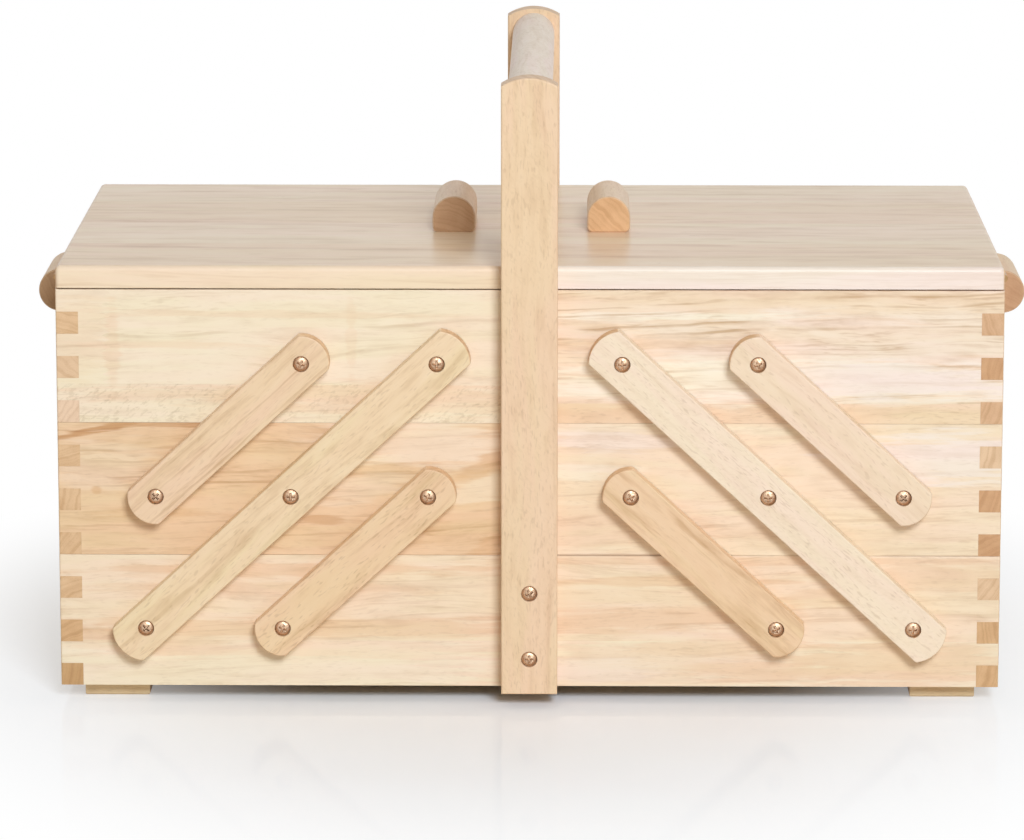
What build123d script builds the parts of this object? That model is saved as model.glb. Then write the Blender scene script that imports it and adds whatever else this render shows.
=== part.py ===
"""Concertina sewing carrier: a base box, two middle trays and two lidded top trays on swinging arms, under a
fixed carrying handle.

Frame, in millimetres: the origin is on the floor under the middle of the box, +X to the right, -Y to the front,
+Z up. The right half and the front are drawn. The left half and the back are their mirror images.
"""

from build123d import *
from collections import namedtuple
from math import atan2, degrees, hypot, sqrt
import os

# ---- the boxes ----
box_width = 420.0  # over the end walls
box_depth = 240.0  # over the front and back walls of the base
tier_pitch = 60.0  # underside of one tier to the underside of the next
tier_gap = 0.1  # seam between two tiers
centre_gap = 1.0  # between the left and the right trays
side_gap = 0.3  # trays and arms run this far from the faces that they pass
wall = 10.0  # thickness of the walls
finger_pairs = 3  # fingers of each wall at a corner
corner_round = 0.8  # sanded corners of the boxes
fit_gap = 0.1  # slack of a board in its groove

# ---- floor panels, dividers and feet ----
floor_thick = 4.0
floor_lift = 3.0  # underside of a floor panel above the underside of its walls
groove_depth = 4.0  # floor panel into each wall
divider_thick = 6.0
divider_height = 44.0
divider_inset = 75.0  # outer end of a top tray to the middle of its divider
dado_depth = 3.0  # divider into the front and back walls
foot_side = 29.0  # square foot blocks, set in the corners of the recess under the base
foot_drop = 7.0  # feet below the walls

# ---- lids and knobs ----
lid_thick = 10.0
lid_gap = 0.6  # rim to lid
lid_edge_round = 2.5
lid_corner_round = 2.0
knob_radius = 9.75  # bar with a round top, straight sides and a flat
knob_flat = 6.75  # flat from the axis of the round top
knob_length = 50.0
knob_edge = 0.5
knob_corner_round = 2.6  # along the flat
lid_knob_inset = 35.0  # inner edge of a lid to its knob's axis
pull_knob_drop = 16.75  # rim of a top tray to its pull knob's axis

# ---- arms ----
arm_width = 20.0
arm_thick = 8.0
long_arm_end_radius = 15.0  # about the outermost screw
short_arm_end_radius = 12.6
arm_corner_round = 1.5
arm_edge_round = 0.6
pivot_height = 28.0  # screws above the underside of their tier
long_arm_inset = 39.0  # end face of the base to the long arm's lowest screw
long_arm_reach = 41.0  # middle of the carrier to the long arm's highest screw
lower_arm_pitch = 61.0  # lower short arm inboard of the long arm
upper_arm_pitch = 60.0  # upper short arm outboard of the long arm

# ---- handle ----
upright_width = 25.0
upright_thick = 12.0
upright_length = 276.0  # above the underside of the base
upright_overhang = 1.0  # below the underside of the base
upright_top_radius = 23.0
upright_edge_round = 0.8
upright_screw_heights = (15.0, 45.0)  # above the underside of the base
grip_radius = 10.0
grip_drop = 12.0  # top of the uprights to the grip's axis
tenon_radius = 6.0
tenon_length = 8.0
glue_gap = 0.05

# ---- arm and handle screws ----
head_radius = 3.3
head_height = 2.1
head_crown = 0.9  # height of the head's domed part
counterbore_radius = 3.6
counterbore_depth = 2.8
shank_radius = 2.0
running_gap = 0.08  # around the shank in an arm
seat_gap = 0.1  # under the head of a screw that an arm turns on
screw_bite = 8.5  # screw into the wall
screw_tip = 2.5
thread_gap = 0.05
recess_span = 3.2  # cross recess in the head, at its bottom
recess_slot = 0.5
recess_depth = 1.3
recess_taper = 12.0  # degrees
recess_turn = 23.0  # degrees from one screw's recess to the next

# ---- hinges and their screws ----
leaf_thick = 0.55
leaf_width = 26.0
leaf_reach = 7.5  # leaf onto the end wall
leaf_gap = 0.1  # between the folded leaves of a hinge
leaf_fit = 0.1  # slack of a leaf in its recess
hinge_offset = 2.0  # end wall's face to the pin's axis
knuckle_radius = 1.7
knuckle_share = 0.33  # of the leaf's width, for the middle knuckle
knuckle_gap = 0.2
pin_radius = 0.75
pin_gap = 0.05
hinge_spacing = 150.0  # between the two hinges of a lid
small_shank_radius = 1.2
small_head_radius = 2.2
small_head_height = 1.1
small_screw_length = 7.0
small_screw_spacing = 16.0  # between the two screws of a leaf
knob_shank_radius = 1.8
knob_head_radius = 3.4
knob_head_height = 1.8
knob_screw_length = 20.0
knob_screw_spacing = 28.0

# ---- worked out from the above ----
board_height = tier_pitch - tier_gap
finger_height = board_height / (2 * finger_pairs)
half_width = box_width / 2
tray_depth = box_depth - 2 * side_gap
end_face = half_width
long_arm_x = end_face - long_arm_inset
arm_run = (long_arm_x - long_arm_reach) / 2  # sideways from one screw of an arm to the next
arm_length = hypot(arm_run, tier_pitch)
arm_slope = degrees(atan2(tier_pitch, arm_run))  # leaning inwards when the carrier is shut

Carcase = namedtuple("Carcase", "x_low x_high depth z_low")
base = Carcase(-half_width, half_width, box_depth, foot_drop)
middle = Carcase(centre_gap / 2, half_width, tray_depth, foot_drop + tier_pitch)
top = Carcase(centre_gap / 2, half_width, tray_depth, foot_drop + 2 * tier_pitch)

rim = top.z_low + board_height
lid_low = rim + lid_gap
hinge_z = rim + lid_gap / 2
hinge_x = end_face + hinge_offset
pull_knob_z = rim - pull_knob_drop
tray_leaf_top = hinge_z - leaf_gap / 2
lid_leaf_low = hinge_z + leaf_gap / 2
lid_knob_x = centre_gap / 2 + lid_knob_inset
divider_x = end_face - divider_inset
divider_low = top.z_low + floor_lift + floor_thick
handle_top = foot_drop + upright_length
upright_low = foot_drop - upright_overhang
grip_z = handle_top - grip_drop
arm_face = box_depth / 2 + side_gap + arm_thick  # outer face of the arms, from the middle of the box

# Screw positions (x, z) in the right half, for each tier. The long arm takes one in every tier.
base_pivots = [
    (long_arm_x, base.z_low + pivot_height),
    (long_arm_x - lower_arm_pitch, base.z_low + pivot_height),
]
middle_pivots = [
    (long_arm_x - arm_run, middle.z_low + pivot_height),
    (long_arm_x - arm_run - lower_arm_pitch, middle.z_low + pivot_height),
    (long_arm_x - arm_run + upper_arm_pitch, middle.z_low + pivot_height),
]
top_pivots = [
    (long_arm_x - 2 * arm_run, top.z_low + pivot_height),
    (long_arm_x - 2 * arm_run + upper_arm_pitch, top.z_low + pivot_height),
]
upright_screws = [(0.0, foot_drop + height) for height in upright_screw_heights]


# ---- helpers ----
def front_plane(x, y, z, turn=0.0):
    """A plane that faces the front at a point, with its own x turned that far up from +X."""
    return Plane(Location((x, y, z), (90, 0, 0)) * Location((0, 0, 0), (0, 0, turn)))


def mirrored(piece, plane):
    """The mirror image of a piece."""
    with BuildPart() as image:
        mirror(piece.part, about=plane)
    return image


def with_back(piece):
    """A front piece and its mirror image at the back, as separate solids of one node."""
    with BuildPart() as pair:
        add(piece.part)
        mirror(piece.part, about=Plane.XZ)
    return pair


def export(piece, name):
    """Labels one finished node and writes it."""
    piece.part.label = name
    export_step(piece.part, f"parts/{name}.step")


def export_both_sides(piece, name):
    """Writes a right-hand piece and its left-hand mirror image."""
    export(piece, f"right_{name}")
    export(mirrored(piece, Plane.YZ), f"left_{name}")


# ---- screws, each drawn with the underside of its head at the origin and its point along -Z ----
def cross_head_screw(length):
    """Round-headed wood screw with a cross recess."""
    with BuildPart() as screw:
        with BuildSketch(Plane.XZ):
            with BuildLine():
                dome = ThreePointArc(
                    (head_radius, head_height - head_crown),
                    (head_radius * 0.62, head_height - head_crown * 0.32),
                    (0, head_height),
                )
                Polyline(
                    dome @ 1,
                    (0, -length),
                    (shank_radius, screw_tip - length),
                    (shank_radius, 0),
                    (head_radius, 0),
                    dome @ 0,
                )
            make_face()
        revolve(axis=Axis.Z)
        with BuildSketch(Plane.XY.offset(head_height - recess_depth)):
            Rectangle(recess_span, recess_slot)
            Rectangle(recess_slot, recess_span)
        extrude(amount=2 * recess_depth, taper=-recess_taper, mode=Mode.SUBTRACT)
    return screw


def countersunk_shape(length, shank, head, head_high, gap=0.0):
    """Outline of a flat-headed screw whose head ends at the origin; the gap makes it a cutter for its hole."""
    with BuildPart() as screw:
        with BuildSketch(Plane.XZ):
            with BuildLine():
                Polyline(
                    (0, 0),
                    (head + gap, 0),
                    (shank + gap, -head_high),
                    (shank + gap, -length + screw_tip / 2),
                    (0, -length - gap),
                    close=True,
                )
            make_face()
        revolve(axis=Axis.Z)
    return screw


def small_screw(gap=0.0):
    """Hinge screw, or the cutter for its hole."""
    return countersunk_shape(
        small_screw_length, small_shank_radius, small_head_radius, small_head_height, gap
    )


def knob_screw(gap=0.0):
    """Screw that holds a knob from behind, or the cutter for its hole."""
    return countersunk_shape(
        knob_screw_length, knob_shank_radius, knob_head_radius, knob_head_height, gap
    )


def front_screws(spots, head_face, wall_face):
    """Cross-headed screws along +Y at the front, from the seat of their heads into the wall."""
    screw = cross_head_screw(head_face - wall_face + screw_bite)
    seats = [front_plane(x, -head_face, z, recess_turn * k).location for k, (x, z) in enumerate(spots)]
    with BuildPart() as group:
        with Locations(*seats):
            add(screw.part)
    return group


def hinge_screw_seats(z, direction):
    """Where a lid's hinge screws start: two on each leaf, pointing down (-1) or up (+1)."""
    tilt = 180 if direction > 0 else 0
    x = end_face - leaf_reach / 2
    return [
        Location((x, hinge + side, z), (tilt, 0, 0))
        for hinge in (-hinge_spacing / 2, hinge_spacing / 2)
        for side in (-small_screw_spacing / 2, small_screw_spacing / 2)
    ]


lid_knob_seats = [
    Location((lid_knob_x, y, lid_low), (180, 0, 0))
    for y in (-knob_screw_spacing / 2, knob_screw_spacing / 2)
]
pull_knob_seats = [
    Location((end_face - wall, y, pull_knob_z), (0, -90, 0))
    for y in (-knob_screw_spacing / 2, knob_screw_spacing / 2)
]
tray_hinge_seats = hinge_screw_seats(tray_leaf_top, -1)
lid_hinge_seats = hinge_screw_seats(lid_leaf_low, 1)


def cut_for_screws(cutter, seats):
    """Cuts screw holes in the part that is being built."""
    with Locations(*seats):
        add(cutter.part, mode=Mode.SUBTRACT)


def cut_for_leaves(z_low):
    """Cuts the recesses of two hinge leaves in the board that is being built, from a leaf's underside up."""
    seats = [(end_face - leaf_reach - leaf_fit, hinge, z_low) for hinge in (-hinge_spacing / 2, hinge_spacing / 2)]
    with Locations(*seats):
        Box(
            2 * leaf_reach,
            leaf_width + 2 * leaf_fit,
            leaf_thick,
            align=(Align.MIN, Align.CENTER, Align.MIN),
            mode=Mode.SUBTRACT,
        )


# ---- boards of a box ----
def cut_fingers(x, y, carcase, first):
    """Takes every second finger off a board's end, counted up from the underside."""
    levels = [carcase.z_low + finger_height * (k + 0.5) for k in range(first, 2 * finger_pairs, 2)]
    with Locations(*[(x, y, z) for z in levels]):
        Box(2 * wall, 2 * wall, finger_height, mode=Mode.SUBTRACT)


def cut_floor_groove(carcase):
    """Lets the floor panel into the board that is being built."""
    x_mid = (carcase.x_low + carcase.x_high) / 2
    width = carcase.x_high - carcase.x_low - 2 * (wall - groove_depth)
    depth = carcase.depth - 2 * (wall - groove_depth)
    with Locations((x_mid, 0, carcase.z_low + floor_lift)):
        Box(
            width,
            depth,
            floor_thick + fit_gap,
            align=(Align.CENTER, Align.CENTER, Align.MIN),
            mode=Mode.SUBTRACT,
        )


def front_wall(carcase, screw_spots, dado_x=None):
    """Front board of a box, with screw holes from its outer face and a slot for a divider."""
    x_mid = (carcase.x_low + carcase.x_high) / 2
    y_mid = (wall - carcase.depth) / 2
    z_mid = carcase.z_low + board_height / 2
    with BuildPart() as board:
        with Locations((x_mid, y_mid, z_mid)):
            Box(carcase.x_high - carcase.x_low, wall, board_height)
        for x in (carcase.x_low, carcase.x_high):
            cut_fingers(x, y_mid, carcase, 0)
        outer_edges = board.edges().filter_by(Axis.Z).group_by(Axis.Y)[0].group_by(Axis.X)
        fillet(outer_edges[0] + outer_edges[-1], corner_round)
        cut_floor_groove(carcase)
        with BuildSketch(front_plane(0, -carcase.depth / 2, 0)):
            with Locations(*screw_spots):
                Circle(shank_radius + thread_gap)
        extrude(amount=-(screw_bite + thread_gap), mode=Mode.SUBTRACT)
        if dado_x is not None:
            with Locations((dado_x, wall - carcase.depth / 2, carcase.z_low + floor_lift)):
                Box(
                    divider_thick + fit_gap,
                    2 * dado_depth,
                    board_height,
                    align=(Align.CENTER, Align.CENTER, Align.MIN),
                    mode=Mode.SUBTRACT,
                )
    return board


def end_wall(carcase, outer_x, outward):
    """End board of a box. Its outer face is at outer_x and looks along outward X."""
    x_mid = outer_x - outward * wall / 2
    with BuildPart() as board:
        with Locations((x_mid, 0, carcase.z_low + board_height / 2)):
            Box(wall, carcase.depth, board_height)
        for y in (-carcase.depth / 2, carcase.depth / 2):
            cut_fingers(x_mid, y, carcase, 1)
        edges_by_x = board.edges().filter_by(Axis.Z).group_by(Axis.X)
        outer_edges = edges_by_x[-1 if outward > 0 else 0].group_by(Axis.Y)
        fillet(outer_edges[0] + outer_edges[-1], corner_round)
        cut_floor_groove(carcase)
    return board


def top_outer_end():
    """Outer end board of a top tray, bored for its pull knob and its hinge screws."""
    plain = end_wall(top, end_face, 1)
    with BuildPart() as board:
        add(plain.part)
        cut_for_leaves(tray_leaf_top - leaf_thick)
        cut_for_screws(knob_screw(thread_gap), pull_knob_seats)
        cut_for_screws(small_screw(thread_gap), tray_hinge_seats)
    return board


def floor_panel(carcase):
    """Floor panel, held in the grooves of the four walls."""
    inset = wall - groove_depth + fit_gap
    with BuildPart() as panel:
        with Locations(((carcase.x_low + carcase.x_high) / 2, 0, carcase.z_low + floor_lift)):
            Box(
                carcase.x_high - carcase.x_low - 2 * inset,
                carcase.depth - 2 * inset,
                floor_thick,
                align=(Align.CENTER, Align.CENTER, Align.MIN),
            )
    return panel


def divider():
    """Loose divider across a top tray, standing on the floor panel between two slots."""
    with BuildPart() as board:
        with Locations((divider_x, 0, divider_low)):
            Box(
                divider_thick,
                top.depth - 2 * (wall - dado_depth) - 2 * fit_gap,
                divider_height,
                align=(Align.CENTER, Align.CENTER, Align.MIN),
            )
        fillet(board.edges().filter_by(Axis.Y).group_by(Axis.Z)[-1], corner_round)
    return board


def foot_blocks():
    """Four square feet, glued under the floor panel in the corners of the base."""
    x = half_width - wall - foot_side / 2
    y = box_depth / 2 - wall - foot_side / 2
    with BuildPart() as feet:
        with Locations(*[(sx * x, sy * y, 0) for sx in (-1, 1) for sy in (-1, 1)]):
            Box(
                foot_side,
                foot_side,
                foot_drop + floor_lift,
                align=(Align.CENTER, Align.CENTER, Align.MIN),
            )
        chamfer(feet.edges().group_by(Axis.Z)[0], knob_edge)
    return feet


# ---- lids and knobs ----
def lid_board():
    """Right lid, flush with the tray under it, with holes for its hinge and knob screws."""
    with BuildPart() as lid:
        with Locations(((top.x_low + top.x_high) / 2, 0, lid_low)):
            Box(
                top.x_high - top.x_low,
                top.depth,
                lid_thick,
                align=(Align.CENTER, Align.CENTER, Align.MIN),
            )
        fillet(lid.edges().filter_by(Axis.Z), lid_corner_round)
        fillet(lid.faces().sort_by(Axis.Z)[-1].edges(), lid_edge_round)
        cut_for_leaves(lid_leaf_low)
        cut_for_screws(small_screw(thread_gap), lid_hinge_seats)
        cut_for_screws(knob_screw(thread_gap), lid_knob_seats)
    return lid


def knob(x, z, across, seats):
    """Bar along Y with a round top, bored for its screws. Its axis is at x and z, and its flat runs across."""
    with BuildPart() as bar:
        with BuildSketch(Plane((x, knob_length / 2, z), x_dir=across, z_dir=(0, -1, 0))) as profile:
            with BuildLine():
                crown = ThreePointArc((knob_radius, 0), (0, knob_radius), (-knob_radius, 0))
                Polyline(
                    crown @ 1,
                    (-knob_radius, -knob_flat),
                    (knob_radius, -knob_flat),
                    crown @ 0,
                )
            make_face()
            fillet(profile.vertices().group_by(Axis.Z if across[0] else Axis.X)[0], knob_corner_round)
        extrude(amount=knob_length)
        ends = bar.faces().sort_by(Axis.Y)
        chamfer(ends[0].edges() + ends[-1].edges(), knob_edge)
        cut_for_screws(knob_screw(thread_gap), seats)
    return bar


def lid_knob():
    """Knob that lifts the lid, near the middle of the carrier."""
    return knob(lid_knob_x, lid_low + lid_thick + knob_flat, (1, 0, 0), lid_knob_seats)


def pull_knob():
    """Knob on the end of the top tray, which pulls the trays apart."""
    return knob(end_face + knob_flat, pull_knob_z, (0, 0, -1), pull_knob_seats)


# ---- hinges ----
def hinge_leaf(plate_low, knuckle_spans, bore):
    """Hinge leaves of one lid or tray: a plate on the end wall's rim, and knuckles round the pin."""
    with BuildPart() as leaves:
        for hinge in (-hinge_spacing / 2, hinge_spacing / 2):
            with Locations((end_face, hinge, plate_low)):
                Box(leaf_reach, leaf_width, leaf_thick, align=(Align.MAX, Align.CENTER, Align.MIN))
            for low, high in knuckle_spans:
                with Locations((end_face, hinge + low, plate_low)):
                    Box(
                        hinge_offset,
                        high - low,
                        leaf_thick,
                        align=(Align.MIN, Align.MIN, Align.MIN),
                    )
                with BuildSketch(Plane.XZ.offset(-(hinge + high))):
                    with Locations((hinge_x, hinge_z)):
                        Circle(knuckle_radius)
                extrude(amount=high - low)
        with BuildSketch(Plane.XZ.offset(-(hinge_spacing + leaf_width) / 2)):
            with Locations((hinge_x, hinge_z)):
                Circle(bore)
        extrude(amount=hinge_spacing + leaf_width, mode=Mode.SUBTRACT)
    return leaves


def tray_hinge_leaves():
    """Lower leaves, screwed to the rim, with the two outer knuckles of each hinge."""
    middle_half = leaf_width * knuckle_share / 2 + knuckle_gap
    spans = [(-leaf_width / 2, -middle_half), (middle_half, leaf_width / 2)]
    plain = hinge_leaf(tray_leaf_top - leaf_thick, spans, pin_radius + pin_gap)
    with BuildPart() as leaves:
        add(plain.part)
        cut_for_screws(small_screw(thread_gap), tray_hinge_seats)
    return leaves


def lid_hinge_leaves():
    """Upper leaves, screwed to the lid, with the middle knuckles and the hinge pins."""
    middle_half = leaf_width * knuckle_share / 2
    plain = hinge_leaf(lid_leaf_low, [(-middle_half, middle_half)], pin_radius + thread_gap)
    with BuildPart() as leaves:
        add(plain.part)
        cut_for_screws(small_screw(thread_gap), lid_hinge_seats)
        for hinge in (-hinge_spacing / 2, hinge_spacing / 2):
            with BuildSketch(Plane.XZ.offset(-(hinge + leaf_width / 2))):
                with Locations((hinge_x, hinge_z)):
                    Circle(pin_radius)
            extrude(amount=leaf_width)
    return leaves


# ---- arms ----
def arm(lower_spot, steps):
    """Front arm from a screw in the right half up through one or two tiers, with round ends."""
    length = steps * arm_length
    end_radius = long_arm_end_radius if steps > 1 else short_arm_end_radius
    x, z = lower_spot
    turn = 180 - arm_slope
    flat = front_plane(x, arm_thick - arm_face, z, turn)
    face = front_plane(x, -arm_face, z, turn)
    with BuildPart() as bar:
        with BuildSketch(flat) as outline:
            with Locations((length / 2, 0)):
                SlotCenterToCenter(length, 2 * end_radius)
                Rectangle(length + 2 * end_radius, arm_width, mode=Mode.INTERSECT)
            fillet(outline.vertices(), arm_corner_round)
        extrude(amount=arm_thick)
        fillet(bar.faces().sort_by(Axis.Y)[0].edges(), arm_edge_round)
        with Locations(*[face.location * Location((k * arm_length, 0, 0)) for k in range(steps + 1)]):
            CounterBoreHole(shank_radius + running_gap, counterbore_radius, counterbore_depth)
    return bar


# ---- handle ----
def upright():
    """Front upright of the handle: a board with a shallow arched top, screwed to the base."""
    outer = box_depth / 2 + upright_thick
    shoulder = handle_top - upright_top_radius + sqrt(upright_top_radius**2 - (upright_width / 2) ** 2)
    half = upright_width / 2
    with BuildPart() as post:
        with BuildSketch(front_plane(0, -box_depth / 2, 0)):
            with BuildLine():
                arch = ThreePointArc((half, shoulder), (0, handle_top), (-half, shoulder))
                Polyline(arch @ 1, (-half, upright_low), (half, upright_low), arch @ 0)
            make_face()
        extrude(amount=upright_thick)
        fillet(post.faces().sort_by(Axis.Y)[0].edges(), upright_edge_round)
        fillet(post.edges().filter_by(Axis.Z).group_by(Axis.Y)[-1], upright_edge_round)
        with Locations(*[front_plane(x, -outer, z).location for x, z in upright_screws]):
            CounterBoreHole(shank_radius + thread_gap, counterbore_radius, counterbore_depth)
        with BuildSketch(front_plane(0, -box_depth / 2, 0)):
            with Locations((0, grip_z)):
                Circle(tenon_radius + glue_gap)
        extrude(amount=tenon_length + glue_gap, mode=Mode.SUBTRACT)
    return post


def grip():
    """Round grip between the uprights, with a turned tenon at each end."""
    with BuildPart() as bar:
        with BuildSketch(Plane.XZ.offset(-box_depth / 2)):
            with Locations((0, grip_z)):
                Circle(grip_radius)
        extrude(amount=box_depth)
        with BuildSketch(Plane.XZ.offset(-box_depth / 2 - tenon_length)):
            with Locations((0, grip_z)):
                Circle(tenon_radius)
        extrude(amount=box_depth + 2 * tenon_length)
    return bar


def mirrored_spots(spots):
    """Spots of the right half and of the left half."""
    return spots + [(-x, z) for x, z in spots]


def export_box(carcase, prefix, screw_spots, dado_x=None):
    """Writes the front and back walls and the floor panel of a box."""
    front = front_wall(carcase, screw_spots, dado_x)
    back = mirrored(front, Plane.XZ)
    panel = floor_panel(carcase)
    if carcase is base:
        export(front, f"{prefix}_front_wall")
        export(back, f"{prefix}_back_wall")
        export(panel, f"{prefix}_floor_panel")
    else:
        export_both_sides(front, f"{prefix}_front_wall")
        export_both_sides(back, f"{prefix}_back_wall")
        export_both_sides(panel, f"{prefix}_floor_panel")


os.makedirs("parts", exist_ok=True)

# The base, its feet and its screws
export_box(base, "base", mirrored_spots(base_pivots) + upright_screws)
export(end_wall(base, half_width, 1), "base_right_end")
export(end_wall(base, -half_width, -1), "base_left_end")
export(foot_blocks(), "feet")

arm_seat = arm_face - counterbore_depth + seat_gap  # underside of a pivot screw's head
upright_seat = box_depth / 2 + upright_thick - counterbore_depth
base_screws = front_screws(mirrored_spots(base_pivots), arm_seat, base.depth / 2)
handle_screws = front_screws(upright_screws, upright_seat, base.depth / 2)
with BuildPart() as all_base_screws:
    add(base_screws.part)
    add(handle_screws.part)
export(with_back(all_base_screws), "base_screws")

# The handle
front_upright = upright()
export(front_upright, "front_upright")
export(mirrored(front_upright, Plane.XZ), "back_upright")
export(grip(), "carry_grip")

# The middle trays
export_box(middle, "middle", middle_pivots)
export_both_sides(end_wall(middle, end_face, 1), "middle_outer_end")
export_both_sides(end_wall(middle, middle.x_low, -1), "middle_inner_end")
middle_screws = front_screws(middle_pivots, arm_seat, middle.depth / 2)
export_both_sides(with_back(middle_screws), "middle_screws")

# The top trays, with their dividers, pull knobs, lower hinge leaves and screws
export_box(top, "top", top_pivots, divider_x)
export_both_sides(top_outer_end(), "top_outer_end")
export_both_sides(end_wall(top, top.x_low, -1), "top_inner_end")
export_both_sides(divider(), "top_divider")
export_both_sides(pull_knob(), "pull_knob")
export_both_sides(tray_hinge_leaves(), "tray_hinge_leaves")
top_pivot_screws = with_back(front_screws(top_pivots, arm_seat, top.depth / 2))
with BuildPart() as top_screws:
    add(top_pivot_screws.part)
    with Locations(*tray_hinge_seats):
        add(small_screw().part)
    with Locations(*pull_knob_seats):
        add(knob_screw().part)
export_both_sides(top_screws, "top_screws")

# The lids
export_both_sides(lid_board(), "lid")
export_both_sides(lid_knob(), "lid_knob")
export_both_sides(lid_hinge_leaves(), "lid_hinge_leaves")
with BuildPart() as lid_screws:
    with Locations(*lid_hinge_seats):
        add(small_screw().part)
    with Locations(*lid_knob_seats):
        add(knob_screw().part)
export_both_sides(lid_screws, "lid_screws")

# The arms: one long pair and two short pairs on each side
for name, lower_spot, steps in (
    ("long_arm", base_pivots[0], 2),
    ("lower_short_arm", base_pivots[1], 1),
    ("upper_short_arm", middle_pivots[2], 1),
):
    front_arm = arm(lower_spot, steps)
    export_both_sides(front_arm, f"{name}_front")
    export_both_sides(mirrored(front_arm, Plane.XZ), f"{name}_back")
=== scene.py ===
"""Dresses the sewing carrier: timber, screws and hinges, and the studio it is shown in.

Laid out as a Blender add-on and run as a script. Lengths are in metres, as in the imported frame, and timber is
drawn in millimetres along, across and through each board.
"""

import math
from collections import namedtuple

import bpy
from bpy.props import FloatProperty, FloatVectorProperty, PointerProperty
from bpy.types import Operator, Panel, PropertyGroup
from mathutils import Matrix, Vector

bl_info = {
    "name": "Sewing Carrier Finishes",
    "version": (1, 0, 0),
    "blender": (4, 5, 0),
    "location": "3D View > Sidebar > Carrier",
    "description": "Finishes the timber and the metal of a sewing carrier and sets it in a studio",
    "category": "Object",
}

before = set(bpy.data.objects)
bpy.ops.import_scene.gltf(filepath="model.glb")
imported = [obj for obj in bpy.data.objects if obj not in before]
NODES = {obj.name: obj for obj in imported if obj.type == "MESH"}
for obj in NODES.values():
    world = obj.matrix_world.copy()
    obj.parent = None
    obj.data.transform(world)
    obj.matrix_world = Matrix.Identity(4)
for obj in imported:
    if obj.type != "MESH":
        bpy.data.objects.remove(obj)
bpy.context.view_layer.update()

# Millimetres in a metre.
MILLIMETRES = 1000.0


def screen(red, green, blue):
    """A colour as a screen shows it, in the light's own values."""
    def light(level):
        part = level / 255
        return part / 12.92 if part <= 0.04045 else ((part + 0.055) / 1.055) ** 2.4

    return tuple(round(light(level), 4) for level in (red, green, blue))


def colour(name, description, *levels):
    return FloatVectorProperty(
        name=name, description=description, subtype="COLOR", size=3, min=0, max=1, default=screen(*levels)
    )


def length(name, description, default):
    settings = {"subtype": "DISTANCE", "unit": "LENGTH", "min": 0, "precision": 5}
    return FloatProperty(name=name, description=description, default=default, **settings)


def angle(name, description, default):
    return FloatProperty(name=name, description=description, subtype="ANGLE", default=default)


def share(name, description, default):
    return FloatProperty(name=name, description=description, subtype="FACTOR", min=0, max=1, default=default)


# ---- settings ----
class TimberSettings(PropertyGroup):
    """Colours and grain of the timber."""

    ivory: colour("Ivory", "Palest streaks", 254, 243, 226)
    petal: colour("Petal", "Palest pinkish boards", 250, 234, 223)
    cream: colour("Cream", "Pale boards", 249, 232, 207)
    shell: colour("Shell", "Pale pinkish boards", 248, 225, 198)
    ecru: colour("Ecru", "Right long arms", 249, 228, 205)
    blush: colour("Blush", "Pinkish boards", 246, 221, 196)
    peach: colour("Peach", "Plain boards", 244, 217, 187)
    apricot: colour("Apricot", "Warm boards", 241, 210, 177)
    honey: colour("Honey", "Yellow boards", 242, 216, 179)
    orange: colour("Orange", "Orange boards", 240, 207, 169)
    amber: colour("Amber", "Heartwood streaks", 228, 187, 143)
    rust: colour("Rust", "Darkest heartwood streaks", 208, 160, 113)
    rose: colour("Rose", "Carrying grip", 255, 238, 225)
    stain: colour("Growth lines", "What a growth line darkens the timber by", 214, 196, 174)
    pore: colour("Pores", "What a pore darkens the timber by", 184, 162, 140)
    fleck: colour("Flecks", "What a fleck darkens mottled timber by", 214, 206, 190)
    end_cream: colour("Cream end grain", "Tops of the uprights", 240, 210, 181)
    end_pale: colour("Pale end grain", "Palest board ends", 241, 210, 182)
    end_light: colour("Light end grain", "Light board ends", 234, 200, 165)
    end_tan: colour("End grain", "Board ends in the corner joints", 231, 194, 154)
    end_rosy: colour("Rosy end grain", "Reddish board ends", 224, 183, 146)
    end_brown: colour("Brown end grain", "Board ends from heartwood", 221, 180, 136)
    end_russet: colour("Russet end grain", "Reddish heartwood ends", 214, 168, 127)
    end_dark: colour("Dark end grain", "Darkest board ends", 208, 167, 120)
    # Also painted shade: the thin dark lines along the seam between the base and the right middle tray.
    knob_brown: colour("Knob brown", "End of the left pull knob", 181, 144, 109)
    knob_tan: colour("Knob tan", "End of the left lid knob", 206, 166, 130)
    knob_rosy: colour("Knob rose", "End of the right pull knob", 202, 158, 123)
    knob_orange: colour("Knob orange", "End of the right lid knob", 234, 189, 143)
    plywood: colour("Plywood", "Floor panels and dividers", 236, 212, 176)
    fibre_width: length("Fibre width", "From one fibre streak to the next", 0.0009)
    growth_step: length("Growth step", "From one growth line to the next", 0.0021)
    pore_length: length("Pore length", "Length of a pore's dash", 0.0034)
    pore_width: length("Pore width", "Width of a pore's dash", 0.00075)
    tooth_length: length("Tooth length", "Length of a glued zigzag's teeth", 0.004)
    tooth_step: length("Tooth step", "From one tooth of a glued zigzag to the next", 0.0035)
    edge_wear: length("Edge wear", "Radius of the sanded edges of arms, lids and knobs", 0.0005)
    wall_wear: length("Wall wear", "Radius of the sanded edges of the walls", 0.00012)
    sheen: share("Roughness", "Roughness of the oiled timber", 0.42)
    lid_sheen: share("Lid roughness", "Roughness of the polished lids", 0.3)


class MetalSettings(PropertyGroup):
    """Colours and finish of the screws and hinges."""

    copper: colour("Copper", "Screw heads", 222, 190, 160)
    # Also the painted dark reflection and shade round the screw rims.
    patina_and_rim_shade: colour("Patina", "Dark film on the screw heads and round their rims", 142, 110, 82)
    brass: colour("Brass", "Hinges", 188, 150, 106)
    brass_shadow: colour("Brass shadow", "Tarnish on the hinges", 126, 92, 60)
    copper_roughness: share("Screw roughness", "Roughness of the screws", 0.52)
    brass_roughness: share("Hinge roughness", "Roughness of the hinges", 0.34)


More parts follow.
